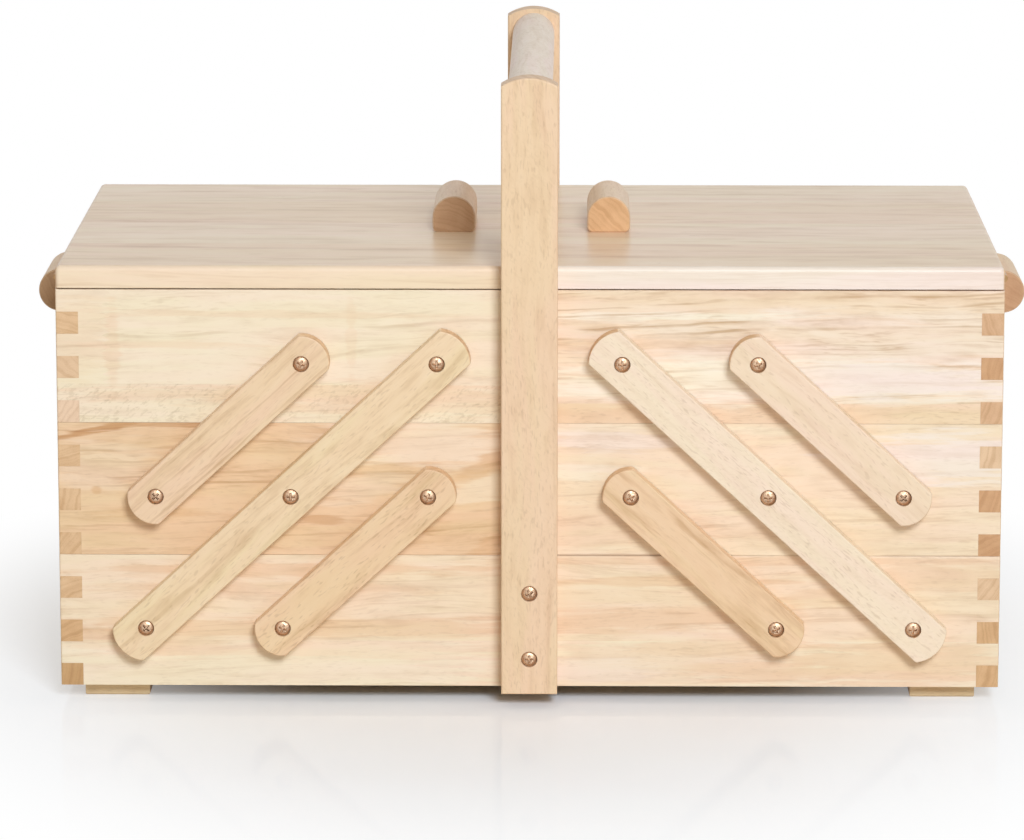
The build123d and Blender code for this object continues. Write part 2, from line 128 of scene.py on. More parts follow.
class StudioSettings(PropertyGroup):
    """Floor, lamps and camera."""

    floor: colour("Floor", "Floor and backdrop", 238, 243, 252)
    floor_width: length("Floor width", "Width of the square floor", 30.0)
    floor_gain: FloatProperty(
        name="Floor gain", description="How much whiter the floor looks to the eye", default=1.235
    )
    floor_gloss: share("Floor gloss", "How much of the carrier the floor mirrors", 0.13)
    key_distance: length("Key distance", "From the carrier to the key lamp", 4.0)
    key_width: length("Key width", "Side of the key lamp", 1.16)
    key_power: FloatProperty(
        name="Key power", description="Power of the key lamp", unit="POWER", default=112.0
    )
    key_tint: colour("Key tint", "Colour of the key lamp", 239, 248, 255)
    side_light: share("Side light", "Strength of the light from the sides", 0.1)
    side_tint: colour("Side tint", "Colour of the light from the sides", 255, 234, 204)
    back_light: share("Back light", "Strength of the light from behind", 0.5)
    top_light: share("Top light", "Strength of the light from above", 0.42)
    top_tint: colour("Top tint", "Colour of the light from above", 255, 243, 222)
    bounce: colour("Floor bounce", "Colour of the light that the floor gives back", 229, 219, 203)
    camera_distance: length("Camera distance", "From the carrier's middle forward to the camera", 2.48978)
    camera_side: length("Camera side", "Camera to the right of the middle", 0.0191)
    camera_height: length("Camera height", "Camera above the floor", 0.5985)
    camera_tilt: angle("Camera tilt", "Downward", 0.19578)
    camera_turn: angle("Camera turn", "Leftward", 0.01134)
    camera_lens: FloatProperty(
        name="Focal length", description="On a 36 mm sensor", unit="CAMERA", default=191.3
    )


# ---- node graphs ----
# Numbers of a Mix node's two inputs and of its result, which share their names, for each kind of data.
MIX_SOCKETS = {"FLOAT": (2, 3, 0), "VECTOR": (4, 5, 1), "RGBA": (6, 7, 2)}


class Graph:
    """Adds nodes to one tree and joins them up. Every call that adds a node returns its output."""

    def __init__(self, tree):
        self.tree = tree

    def add(self, kind, inputs=None, out=0, **settings):
        node = self.tree.nodes.new("ShaderNode" + kind)
        for name, value in settings.items():
            setattr(node, name, value)
        for key, value in (inputs or {}).items():
            self.plug(value, node.inputs[key])
        return node.outputs[out]

    def plug(self, value, socket):
        """Joins an output to a socket, or sets the socket to a plain value."""
        if isinstance(value, bpy.types.NodeSocket):
            self.tree.links.new(value, socket)
        elif isinstance(value, (tuple, list)) and socket.type == "RGBA":
            socket.default_value = (*value, 1.0)
        else:
            socket.default_value = value

    def math(self, operation, *values, clamp=False):
        return self.add("Math", dict(enumerate(values)), operation=operation, use_clamp=clamp)

    def vector(self, operation, *values):
        out = "Value" if operation in ("DOT_PRODUCT", "LENGTH") else "Vector"
        return self.add("VectorMath", dict(enumerate(values)), out, operation=operation)

    def scaled(self, vector, x, y, z):
        return self.vector("MULTIPLY", vector, (x, y, z))

    def combine(self, x=0.0, y=0.0, z=0.0):
        return self.add("CombineXYZ", {0: x, 1: y, 2: z})

    def split(self, vector):
        """The three outputs that a vector splits into."""
        node = self.tree.nodes.new("ShaderNodeSeparateXYZ")
        self.plug(vector, node.inputs[0])
        return node.outputs

    def here(self):
        """The place on the object, in metres."""
        return self.add("TexCoord", out="Object")

    def here_in_millimetres(self):
        return self.scaled(self.here(), MILLIMETRES, MILLIMETRES, MILLIMETRES)

    def noise(self, vector, detail=2.0, roughness=0.5, distortion=0.0, out="Fac"):
        inputs = {"Vector": vector, "Scale": 1.0, "Detail": detail}
        inputs.update({"Roughness": roughness, "Distortion": distortion})
        return self.add("TexNoise", inputs, out)

    def drawn_out(self, place, reach, width, *look, **more):
        """Noise that runs on for reach along the grain and for width across it. Look is as in noise."""
        return self.noise(self.scaled(place, 1 / reach, 1 / width, 1 / width), *look, **more)

    def ramp(self, value, low, high, to_low=0.0, to_high=1.0, smooth=True):
        """A value that goes from to_low to to_high while the given one goes from low to high."""
        kind = "SMOOTHSTEP" if smooth else "LINEAR"
        inputs = {0: value, 1: low, 2: high, 3: to_low, 4: to_high}
        return self.add("MapRange", inputs, interpolation_type=kind, clamp=True)

    def mix_kind(self, kind, factor, low, high, **settings):
        first, second, result = MIX_SOCKETS[kind]
        return self.add("Mix", {0: factor, first: low, second: high}, result, data_type=kind, **settings)

    def mix(self, factor, low, high, blend="MIX"):
        """A mix of two colours."""
        return self.mix_kind("RGBA", factor, low, high, blend_type=blend)

    def mix_vector(self, factor, low, high):
        return self.mix_kind("VECTOR", factor, low, high)

    def mix_value(self, factor, low, high):
        return self.mix_kind("FLOAT", factor, low, high)

    def tinted(self, base, tint):
        """A colour times another."""
        return self.mix(1.0, base, tint, "MULTIPLY")

    def stained(self, factor, base, stain):
        """A colour that a stain darkens by as much as the factor says."""
        return self.mix(factor, base, self.tinted(base, tuple(stain)))


def new_group(name, inputs, outputs):
    """An empty node group with these sockets, its graph, its given values and its results."""
    tree = bpy.data.node_groups.new(name, "ShaderNodeTree")
    for direction, sockets in (("INPUT", inputs), ("OUTPUT", outputs)):
        for socket_name, kind in sockets:
            tree.interface.new_socket(name=socket_name, in_out=direction, socket_type="NodeSocket" + kind)
    entry = tree.nodes.new("NodeGroupInput")
    leave = tree.nodes.new("NodeGroupOutput")
    return tree, Graph(tree), entry.outputs, leave.inputs


def bare_material(name):
    """An empty node material, its graph and the socket for its surface."""
    material = bpy.data.materials.new(name)
    material.use_nodes = True
    material.node_tree.nodes.clear()
    output = material.node_tree.nodes.new("ShaderNodeOutputMaterial")
    return material, Graph(material.node_tree), output.inputs["Surface"]


def new_material(name):
    """A node material, its graph and the inputs of its surface shader."""
    material, g, surface = bare_material(name)
    shader = g.tree.nodes.new("ShaderNodeBsdfPrincipled")
    g.plug(shader.outputs[0], surface)
    return material, g, shader.inputs


# ---- the figure of timber ----
# The grain's slow bends, and the short ones that make it waver: their reach along the grain, their width
# across it, and how far they carry it, in millimetres.
GRAIN_BENDS = ((110.0, 28.0, 12.0), (20.0, 5.0, 2.0))

# The finest streaks: their reach, in millimetres, and their strength. Their width is a setting.
FIBRE_REACH = 12.0
FIBRE_STRENGTH = 0.55

# Broader streaks: their reach and width, in millimetres, the roughness of their noise, and their strength.
BROAD_STREAKS = ((24.0, 2.6, 0.55, 1.3), (100.0, 8.0, 0.55, 1.5), (12.0, 4.5, 0.5, 0.9))

# The pith lies this many millimetres behind a board, and moves across by this much for each millimetre along.
PITH_DEPTH = 38.0
PITH_LEAN = 0.04

# How far flecks lean across the grain, in radians.
FLECK_LEAN = 0.6

# What the palest streaks do to a board's tint, and the two casts that it drifts between.
PALE_STREAK = (1.04, 1.07, 1.12)
ROSY_CAST = (1.005, 0.98, 0.995)
YELLOW_CAST = (0.99, 1.0, 0.97)

# How strongly pores and flecks darken the timber, and how much rougher pores and end grain are than the rest.
PORE_STRENGTH = 0.34
FLECK_STRENGTH = 0.45
ROUGHNESS_SWING = 0.12

# Height of the grain's relief, in metres, and the shine of oiled timber and of the polished lids.
GRAIN_RELIEF = 0.00004
SHINE = {"sheen": 0.45, "lid_sheen": 0.3}

# Steps between the seeds of one board's strips, and of the two lengths of one strip.
STRIP_SEED_STEP = 3.7
JOINT_SEED_STEP = 1.9


def bend_grain(g, place):
    """The place where the grain's bends carry each streak from."""
    bent = place
    for reach, width, swing in GRAIN_BENDS:
        drift = g.drawn_out(place, reach, width, 1.0, out="Color")
        drift = g.vector("SUBTRACT", drift, (0.5, 0.5, 0.5))
        bent = g.vector("ADD", bent, g.scaled(drift, 0.0, swing, swing))
    return bent


def growth_rings(g, bent, step):
    """Noise in rings round the pith."""
    along, across, through = g.split(bent)
    pith_across = g.math("MULTIPLY_ADD", along, PITH_LEAN, across)
    pith_through = g.math("ADD", through, PITH_DEPTH)
    radius = g.vector("LENGTH", g.combine(0.0, pith_across, pith_through))
    inputs = {"W": g.math("DIVIDE", radius, step), "Scale": 1.0, "Detail": 2.0}
    return g.add("TexNoise", inputs, noise_dimensions="1D")


def growth_lines(g, place, bent, rings):
    """Lines where a face cuts the rings, and finer dark lines, which come and go along the board."""
    cuts = g.ramp(rings, 0.5, 0.74)
    fine = g.ramp(g.drawn_out(bent, 15.0, 1.4, 2.0, 0.6), 0.52, 0.72)
    lines = g.math("MAXIMUM", cuts, g.math("MULTIPLY", fine, 0.7))
    fade = g.ramp(g.drawn_out(place, 40.0, 9.0), 0.34, 0.6)
    return g.math("MULTIPLY", lines, g.math("MAXIMUM", fade, 0.25))


def pore_dashes(g, place, bent, dash_length, dash_width):
    """Short dark dashes along the grain, which crowd together here and there."""
    dashes = g.drawn_out(bent, dash_length, dash_width, 0.0)
    crowd = g.ramp(g.drawn_out(place, 30.0, 5.0, 1.0), 0.35, 0.65, 0.06, -0.05)
    return g.ramp(g.math("SUBTRACT", dashes, crowd), 0.6, 0.8)


def flecks(g, place):
    """Blunt flecks that lean across the grain, in clouds."""
    inputs = {"Vector": place, "Axis": (0.0, 0.0, 1.0), "Angle": FLECK_LEAN}
    leaning = g.add("VectorRotate", inputs, rotation_type="AXIS_ANGLE")
    speck = g.ramp(g.drawn_out(leaning, 2.3, 1.1, 1.0), 0.5, 0.66)
    cloud = g.ramp(g.drawn_out(leaning, 7.0, 3.4, 1.0), 0.32, 0.58)
    return g.math("MULTIPLY", speck, cloud)


def all_streaks(g, bent, fibre):
    """How much darker each streak is than the board's tint, or below 0, how much paler."""
    streak = g.math("MULTIPLY_ADD", fibre, FIBRE_STRENGTH, -FIBRE_STRENGTH / 2)
    for reach, width, roughness, strength in BROAD_STREAKS:
        layer = g.drawn_out(bent, reach, width, 2.0, roughness)
        streak = g.math("ADD", streak, g.math("MULTIPLY_ADD", layer, strength, -strength / 2))
    return streak


def end_grain(g, place, rings, tint, stain):
    """End grain: growth arcs, open pores and a slow change of tone."""
    patch = g.ramp(g.drawn_out(place, 40.0, 7.0, 1.0), 0.35, 0.65)
    arcs = g.ramp(rings, 0.4, 0.7)
    dots = g.ramp(g.drawn_out(place, 10.0, 0.5, 0.0), 0.56, 0.7)
    tone = g.math("ADD", g.math("MULTIPLY", patch, 0.2), g.math("MULTIPLY", arcs, 0.34))
    tone = g.math("ADD", tone, g.math("MULTIPLY", dots, 0.12), clamp=True)
    return g.stained(tone, tint, stain)


def timber_group():
    """The figure of one piece of timber, from a place in millimetres along, across and through it."""
    name = "timber"
    if name in bpy.data.node_groups:
        return bpy.data.node_groups[name]
    timber = bpy.context.scene.carrier_timber
    tree, g, given, result = new_group(
        name,
        [
            ("Place", "Vector"),
            ("Seed", "Vector"),
            ("Tint", "Color"),
            ("Figure", "Vector"),
            ("Mottle", "Float"),
            ("End tint", "Color"),
            ("End", "Float"),
            ("Sheen", "Float"),
        ],
        [("Colour", "Color"), ("Roughness", "Float"), ("Height", "Float")],
    )
    streaks, waves, pores = g.split(given["Figure"])
    place = g.vector("ADD", given["Place"], given["Seed"])
    bent = bend_grain(g, place)
    fibre = g.drawn_out(bent, FIBRE_REACH, timber.fibre_width * MILLIMETRES, 3.0, 0.6)
    rings = growth_rings(g, bent, timber.growth_step * MILLIMETRES)
    lines = growth_lines(g, place, bent, rings)
    pore = pore_dashes(g, place, bent, timber.pore_length * MILLIMETRES, timber.pore_width * MILLIMETRES)
    pore = g.math("MULTIPLY", pore, pores)
    fleck = g.math("MULTIPLY", flecks(g, place), given["Mottle"])
    streak = g.math("MULTIPLY", all_streaks(g, bent, fibre), streaks)
    tone = g.math("ADD", streak, g.math("MULTIPLY", lines, waves), clamp=True)

    pale = g.ramp(streak, -0.5, 0.0, 1.0, 0.0, smooth=False)
    face = g.tinted(given["Tint"], g.mix(pale, (1.0, 1.0, 1.0), PALE_STREAK))
    cast = g.ramp(g.drawn_out(bent, 90.0, 11.0), 0.38, 0.62)
    face = g.tinted(face, g.mix(cast, ROSY_CAST, YELLOW_CAST))
    face = g.stained(tone, face, timber.stain)
    face = g.stained(g.math("MULTIPLY", pore, PORE_STRENGTH), face, timber.pore)
    face = g.stained(g.math("MULTIPLY", fleck, FLECK_STRENGTH), face, timber.fleck)
    end = end_grain(g, place, rings, given["End tint"], timber.stain)
    g.plug(g.mix(given["End"], face, end), result["Colour"])

    rough = g.math("MULTIPLY_ADD", fibre, ROUGHNESS_SWING, given["Sheen"])
    rough = g.math("MULTIPLY_ADD", g.math("MAXIMUM", pore, given["End"]), ROUGHNESS_SWING, rough)
    g.plug(rough, result["Roughness"])
    height = g.math("MULTIPLY_ADD", pore, -0.8, g.math("MULTIPLY", fibre, 0.5))
    g.plug(g.math("MULTIPLY_ADD", fleck, -0.15, height), result["Height"])
    return tree


# ---- materials ----
# A strip of timber in a glued-up board: its upper edge, counted in millimetres down the board, its tint, how
# much streaking, growth lines, pores and mottling it shows, the tint of its end grain, and where along it a
# second length of timber is glued on, with the tint of that length.
Strip = namedtuple(
    "Strip",
    "start tint streaks waves pores mottle end joint second_tint",
    defaults=(0.5, 0.3, 0.4, 0.0, "end_tan", None, None),
)

# A soft-edged patch of another tint: its middle, in millimetres along and down the board, its length and
# height, how far it falls for each millimetre along, how strong it is, and how much of the figure it hides.
Patch = namedtuple("Patch", "along down length height tint lean strength calm", defaults=(0.0, 1.0, 0.0))

# How a board is cut: the grain's direction, the direction down its strips, and the face that it shows.
Cut = namedtuple("Cut", "grain down face")

ALONG_X = Cut((1, 0, 0), (0, 0, -1), (0, 1, 0))
ALONG_Y = Cut((0, 1, 0), (0, 0, -1), (1, 0, 0))
LID_CUT = Cut((1, 0, 0), (0, 1, 0), (0, 0, 1))
UPRIGHT_CUT = Cut((0, 0, 1), (1, 0, 0), (0, 1, 0))
BAR_CUT = Cut((0, 1, 0), (1, 0, 0), (0, 0, 1))


def seed_vector(seed):
    """A shift that gives each board its own stretch of timber, in millimetres."""
    return tuple((seed * step) % 900.0 for step in (137.13, 71.71, 53.37))


def lay_strips(g, along, across, down, seed, strips):
    """The tint, end tint, figure, mottling and stretch of timber at each place of a glued-up board."""
    timber = bpy.context.scene.carrier_timber
    tooth_length = timber.tooth_length * MILLIMETRES
    tooth_step = timber.tooth_step * MILLIMETRES
    teeth = g.math("PINGPONG", across, tooth_step / 2)
    zigzag = g.math("MULTIPLY", teeth, 2 * tooth_length / tooth_step)
    mixes = (g.mix, g.mix, g.mix_vector, g.mix_value, g.mix_vector)
    board = None
    for number, strip in enumerate(strips):
        strip_seed = seed + STRIP_SEED_STEP * number
        tint = tuple(getattr(timber, strip.tint))
        stretch = seed_vector(strip_seed)
        if strip.joint is not None:
            past = g.math("GREATER_THAN", g.math("ADD", along, zigzag), strip.joint)
            tint = g.mix(past, tint, tuple(getattr(timber, strip.second_tint)))
            stretch = g.mix_vector(past, stretch, seed_vector(strip_seed + JOINT_SEED_STEP))
        figure = (strip.streaks, strip.waves, strip.pores)
        look = (tint, tuple(getattr(timber, strip.end)), figure, strip.mottle, stretch)
        if board is None:
            board = look
        else:
            below = g.math("GREATER_THAN", down, strip.start)
            board = tuple(mix(below, above, new) for mix, above, new in zip(mixes, board, look))
    return board


def add_patches(g, tint, figure, patches, along, down, place):
    """Lays soft patches over a board's tint and figure. Their edges are ragged along the grain."""
    if not patches:
        return tint, figure
    timber = bpy.context.scene.carrier_timber
    spot = g.combine(along, down, 0.0)
    ragged = g.drawn_out(place, 34.0, 3.0, 3.0, 0.6)
    ragged = g.math("MULTIPLY_ADD", ragged, 2.2, -1.1)
    for patch in patches:
        offset = g.vector("SUBTRACT", spot, (patch.along, patch.down, 0.0))
        reach = g.vector("DOT_PRODUCT", offset, (2 / patch.length, 0.0, 0.0))
        drop = g.vector("DOT_PRODUCT", offset, (-2 * patch.lean / patch.height, 2 / patch.height, 0.0))
        distance = g.math("ADD", g.vector("LENGTH", g.combine(reach, drop, 0.0)), ragged)
        inside = g.ramp(distance, 0.6, 1.2, patch.strength, 0.0)
        tint = g.mix(inside, tint, tuple(getattr(timber, patch.tint)))
        if patch.calm:
            left = g.math("MULTIPLY_ADD", inside, -patch.calm, 1.0)
            figure = g.vector("MULTIPLY", figure, g.combine(left, left, 1.0))
    return tint, figure


def timber_material(
    name, cut, seed, strips, first_edge=0.0, patches=(), sheen="sheen", wear="edge_wear", spread=1.0
):
    """Timber for one board. Its strips are counted from first_edge on, and spread widens its figure."""
    timber = bpy.context.scene.carrier_timber
    material, g, surface = new_material(name)
    here = g.here()
    along, across, through = (
        g.vector("DOT_PRODUCT", here, tuple(MILLIMETRES * part for part in axis)) for axis in cut
    )
    down = g.math("SUBTRACT", across, first_edge)
    place = g.combine(g.math("DIVIDE", along, spread), g.math("DIVIDE", across, spread), through)
    tint, end_tint, figure, mottle, stretch = lay_strips(g, along, across, down, seed, strips)
    tint, figure = add_patches(g, tint, figure, patches, along, down, place)
    normal = g.add("TexCoord", out="Normal")
    facing = g.math("ABSOLUTE", g.vector("DOT_PRODUCT", normal, cut.grain))

    group = g.tree.nodes.new("ShaderNodeGroup")
    group.node_tree = timber_group()
    given = {
        "Place": place,
        "Seed": stretch,
        "Tint": tint,
        "Figure": figure,
        "Mottle": mottle,
        "End tint": end_tint,
        "End": g.ramp(facing, 0.6, 0.8),
        "Sheen": getattr(timber, sheen) - ROUGHNESS_SWING / 2,
    }
    for socket, value in given.items():
        g.plug(value, group.inputs[socket])
    g.plug(group.outputs["Colour"], surface["Base Color"])
    g.plug(group.outputs["Roughness"], surface["Roughness"])
    worn = g.add("Bevel", {"Radius": getattr(timber, wear)}, samples=4)
    relief = {"Strength": 0.6, "Distance": GRAIN_RELIEF, "Height": group.outputs["Height"], "Normal": worn}
    g.plug(g.add("Bump", relief), surface["Normal"])
    surface["Specular IOR Level"].default_value = SHINE[sheen]
    return material


def wall_material(name, cut, seed, strips, rim, patches=()):
    """Timber for a wall, whose edges stay nearly sharp so that stacked boxes close up."""
    return timber_material(name, cut, seed, strips, -rim, patches, wear="wall_wear")


def plywood_material(name, seed):
    """Plywood: a pale peeled face, and edges that show the plies."""
    timber = bpy.context.scene.carrier_timber
    material, g, surface = new_material(name)
    place = g.vector("ADD", g.here_in_millimetres(), seed_vector(seed))
    drift = g.drawn_out(place, 160.0, 40.0, out="Color")
    bent = g.vector("ADD", place, g.scaled(drift, 0.0, 26.0, 26.0))
    figure = g.drawn_out(bent, 170.0, 9.0, 3.0, 0.5, 0.4)
    fibre = g.drawn_out(bent, 30.0, 0.6)
    tone = g.math("ADD", g.math("MULTIPLY", g.ramp(figure, 0.35, 0.7), 0.5), g.math("MULTIPLY", fibre, 0.3))
    g.plug(g.stained(tone, tuple(timber.plywood), timber.stain), surface["Base Color"])
    g.plug(g.math("MULTIPLY_ADD", fibre, 0.12, 0.5), surface["Roughness"])
    g.plug(g.add("Bump", {"Strength": 0.4, "Distance": 0.00003, "Height": fibre}), surface["Normal"])
    return material


def put_on(node_name, material):
    """Gives a CAD node its finish."""
    slots = NODES[node_name].material_slots
    if not slots:
        raise RuntimeError(f"{node_name} has no material slot")
    for slot in slots:
        slot.material = material


# ---- the boards ----
# Heights of the boxes' rims, in millimetres. Strips of a wall are counted down from its rim.
BASE_RIM = 66.9
MIDDLE_RIM = 126.9
TOP_RIM = 186.9

# From one finger of a corner joint to the next of the same wall, in millimetres.
FINGER_PITCH = 20.0

# Where the lids' front edge lies along Y, in millimetres, and how much broader their figure is.
LID_FRONT = -120.0
LID_SPREAD = 2.2

# How far a closed arm climbs from one tray to the next, and how far sideways it goes, in millimetres.
ARM_RISE = 60.0
ARM_RUN = 65.0

# Strips of the walls that face the front, and the patches on them.
BASE_FRONT = [
    Strip(0.0, "shell", 0.5, 0.3, 0.3),
    Strip(39.2, "cream", 0.35, 0.2, 0.3),
]
BASE_PATCHES = [
    Patch(-110.0, 7.0, 190.0, 7.0, "apricot"),
    Patch(-120.0, 15.5, 170.0, 6.0, "peach"),
    Patch(-90.0, 33.5, 260.0, 10.0, "apricot"),
    Patch(-192.0, 37.0, 50.0, 9.0, "amber", 0.0, 0.45),
    Patch(-100.0, 43.0, 230.0, 10.0, "shell", 0.0, 0.9),
    Patch(-155.0, 42.0, 50.0, 8.0, "peach", 0.0, 0.8),
    Patch(90.0, 2.5, 230.0, 5.0, "apricot", 0.0, 0.8),
    # Painted shade: a thin dark line along the rim, where the seam to the tray above lies in shadow.
    Patch(34.0, 0.0, 130.0, 0.7, "knob_brown", 0.0, 0.45),
    Patch(60.0, 12.0, 120.0, 5.0, "apricot"),
    Patch(50.0, 29.0, 150.0, 13.0, "apricot", -0.03),
    Patch(180.0, 10.0, 100.0, 15.0, "apricot", 0.0, 0.7),
    Patch(50.0, 19.0, 130.0, 10.0, "peach", 0.0, 0.7),
    Patch(55.0, 50.0, 170.0, 26.0, "blush", -0.05, 0.9),
    Patch(165.0, 50.0, 130.0, 24.0, "peach"),
    Patch(108.0, 53.0, 80.0, 12.0, "apricot", 0.0, 0.7),
    Patch(135.0, 19.0, 50.0, 9.0, "apricot", 0.0, 0.6),
    Patch(178.0, 53.0, 60.0, 10.0, "apricot", 0.0, 0.5),
    Patch(85.0, 42.0, 80.0, 9.0, "apricot", 0.0, 0.5),
    Patch(30.0, 53.0, 60.0, 12.0, "petal", 0.0, 0.4),
]
LEFT_MIDDLE_FRONT = [Strip(0.0, "orange", 0.6, 0.45, 0.25)]
LEFT_MIDDLE_PATCHES = [
    Patch(-160.0, 4.0, 140.0, 9.0, "amber", 0.0, 0.12),
    Patch(-194.0, 3.6, 42.0, 3.6, "rust", -0.19),
    Patch(-150.0, 1.0, 90.0, 3.0, "rust", 0.0, 0.7),
    Patch(-190.0, 20.0, 50.0, 26.0, "peach", 0.0, 0.8),
    Patch(-120.0, 50.0, 230.0, 16.0, "amber", 0.02, 0.15),
    Patch(-170.0, 41.0, 60.0, 5.0, "amber", 0.0, 0.5),
    Patch(-193.0, 31.0, 6.0, 4.0, "amber", 0.0, 0.8),
    Patch(-45.0, 9.0, 100.0, 26.0, "shell", 0.06, 1.0, 0.5),
    Patch(-72.0, 29.0, 50.0, 13.0, "shell", -0.24, 0.6, 0.3),
    Patch(-22.0, 30.0, 44.0, 13.0, "shell", -0.2, 0.9, 0.5),
    Patch(-18.0, 18.5, 30.0, 9.0, "amber", -0.45, 0.7, 0.4),
    Patch(-93.0, 44.0, 24.0, 4.0, "rust", 0.0, 0.6),
    Patch(-33.0, 50.0, 60.0, 17.0, "amber", 0.0, 0.25),
    Patch(-17.0, 55.0, 20.0, 9.0, "amber", -0.5, 0.7),
]
RIGHT_MIDDLE_FRONT = [Strip(0.0, "shell", 0.5, 0.35, 0.3)]
RIGHT_MIDDLE_PATCHES = [
    Patch(60.0, 3.0, 160.0, 5.0, "cream", 0.0, 0.8),
    Patch(36.0, 8.0, 70.0, 10.0, "petal", 0.0, 0.6),
    Patch(185.0, 16.0, 90.0, 24.0, "petal", 0.0, 0.9, 0.4),
    Patch(30.0, 46.0, 110.0, 24.0, "peach", 0.0, 0.9),
    Patch(120.0, 50.0, 90.0, 10.0, "peach", 0.0, 0.5),
    Patch(15.0, 22.0, 60.0, 9.0, "ivory", 0.0, 0.5, 0.4),
    # These two are painted shade: thin dark lines along the lower edge, where the seam to the base below lies
    # in shadow.
    Patch(34.0, 59.8, 130.0, 1.1, "knob_brown", 0.0, 0.45),
    Patch(185.0, 59.8, 60.0, 0.9, "knob_brown", 0.0, 0.3),
]
LEFT_TOP_FRONT = [
    Strip(0.0, "cream", 0.35, 0.35, 0.2, joint=-185.6, second_tint="cream"),
    Strip(42.4, "cream", 0.3, 0.2, 0.5, 0.75),
]
LEFT_TOP_PATCHES = [
    Patch(-200.0, 20.0, 30.0, 44.0, "honey", 0.0, 0.35),
    Patch(-185.0, 26.0, 7.0, 40.0, "peach", 0.0, 0.6),
    Patch(-79.0, 22.0, 5.0, 34.0, "peach", 0.0, 0.4),
    Patch(-120.0, 11.0, 190.0, 3.5, "peach", 0.01, 0.5),
    Patch(-165.0, 24.5, 80.0, 4.0, "peach", 0.0, 0.6),
    Patch(-90.0, 47.0, 250.0, 10.0, "peach", 0.0, 0.7),
    Patch(-60.0, 50.0, 130.0, 18.0, "peach", 0.0, 0.6),
]
RIGHT_TOP_FRONT = [
    Strip(0.0, "blush", 0.8, 0.7, 0.2),
    Strip(50.9, "peach", 0.45, 0.25, 0.5),
]
RIGHT_TOP_PATCHES = [
    Patch(145.0, 23.0, 240.0, 30.0, "petal", 0.0, 0.45),
    Patch(80.0, 3.5, 250.0, 7.0, "peach", 0.0, 0.4),
    Patch(60.0, 11.5, 150.0, 4.0, "ivory", 0.0, 0.7),
    Patch(40.0, 24.0, 110.0, 6.0, "apricot", 0.0, 0.6),
    Patch(130.0, 20.0, 190.0, 8.0, "peach", -0.02, 0.25),
    Patch(110.0, 41.0, 330.0, 20.0, "ivory", 0.0, 0.75, 0.5),
    Patch(150.0, 41.0, 130.0, 18.0, "petal", 0.0, 1.0, 0.5),
    Patch(30.0, 57.0, 100.0, 12.0, "apricot"),
    Patch(170.0, 57.0, 110.0, 12.0, "honey", 0.0, 0.5),
]

# End grain in the corner joints, from the top finger of each outer end to its lowest.
FINGER_ENDS = {
    "left top": ("end_tan", "end_light", "end_pale"),
    "left middle": ("end_tan", "end_tan", "end_tan"),
    "left base": ("end_tan", "end_brown", "end_dark"),
    "right top": ("end_rosy", "end_russet", "end_rosy"),
    "right middle": ("end_light", "end_russet", "end_russet"),
    "right base": ("end_light", "end_brown", "end_brown"),
}


def plain_strips(first, second, width=34.0, ends=("end_tan", "end_light")):
    """Strips of a wall that has nothing special: two tints of timber, one under the other."""
    return [
        Strip(0.0, first, 0.5, 0.4, 0.3, end=ends[0]),
        Strip(width, second, 0.45, 0.3, 0.4, end=ends[1]),
    ]


def end_strips(tints, ends):
    """Strips of an end wall, with a new piece of timber for each finger of its corner joints."""
    return [
        Strip(FINGER_PITCH * number, tint, 0.45, 0.35, 0.3, end=end)
        for number, (tint, end) in enumerate(zip(tints, ends))
    ]


# ---- finishes ----
class FinishOperator(Operator):
    """Shared ground of the finishes."""

    bl_options = {"REGISTER", "UNDO"}

    def execute(self, context):
        self.finish(context)
        return {"FINISHED"}


class CARRIER_OT_base_box(FinishOperator):
    """Finishes the walls, the floor panel and the feet of the base"""

    bl_idname = "carrier.base_box"
    bl_label = "Base Box"

    def finish(self, context):
        front = wall_material("base front timber", ALONG_X, 2.3, BASE_FRONT, BASE_RIM, BASE_PATCHES)
        put_on("base_front_wall", front)
        back_strips = plain_strips("peach", "shell", 22.0)
        put_on("base_back_wall", wall_material("base back timber", ALONG_X, 5.1, back_strips, BASE_RIM))
        for side, seed in (("left", 8.2), ("right", 9.4)):
            strips = end_strips(("shell", "shell", "cream"), FINGER_ENDS[f"{side} base"])
            end = wall_material(f"base {side} end timber", ALONG_Y, seed, strips, BASE_RIM)
            put_on(f"base_{side}_end", end)
        put_on("base_floor_panel", plywood_material("base floor plywood", 1.0))
        feet_strips = [Strip(0.0, "honey", 0.5, 0.3, 0.4)]
        put_on("feet", timber_material("feet timber", ALONG_X, 11.3, feet_strips))


class CARRIER_OT_handle(FinishOperator):
    """Finishes the two uprights and the round grip between them"""

    bl_idname = "carrier.handle"
    bl_label = "Handle"

    def finish(self, context):
        strips = [Strip(0.0, "apricot", 0.45, 0.15, 0.55, 0.3, end="end_cream")]
        for side, seed in (("front", 3.9), ("back", 6.6)):
            put_on(f"{side}_upright", timber_material(f"{side} upright timber", UPRIGHT_CUT, seed, strips))
        grip_strips = [Strip(0.0, "rose", 0.5, 0.15, 0.3, 0.8)]
        put_on("carry_grip", timber_material("grip timber", BAR_CUT, 7.7, grip_strips))


def finish_tray(side, tier, rim, front_strips, front_patches, seed):
    """Finishes the four walls and the floor panel of one tray."""
    def wall(part, cut, extra, strips, patches=()):
        name = f"{side}_{tier}_{part}"
        label = name.replace("_", " ") + " timber"
        put_on(name, wall_material(label, cut, seed + extra, strips, rim, patches))

    wall("front_wall", ALONG_X, 0.0, front_strips, front_patches)
    wall("back_wall", ALONG_X, 1.3, plain_strips("shell", "cream"))
    wall("outer_end", ALONG_Y, 2.9, end_strips(("cream", "cream", "shell"), FINGER_ENDS[f"{side} {tier}"]))
    wall("inner_end", ALONG_Y, 4.1, plain_strips("peach", "cream"))
    put_on(f"{side}_{tier}_floor_panel", plywood_material(f"{side} {tier} floor plywood", seed))


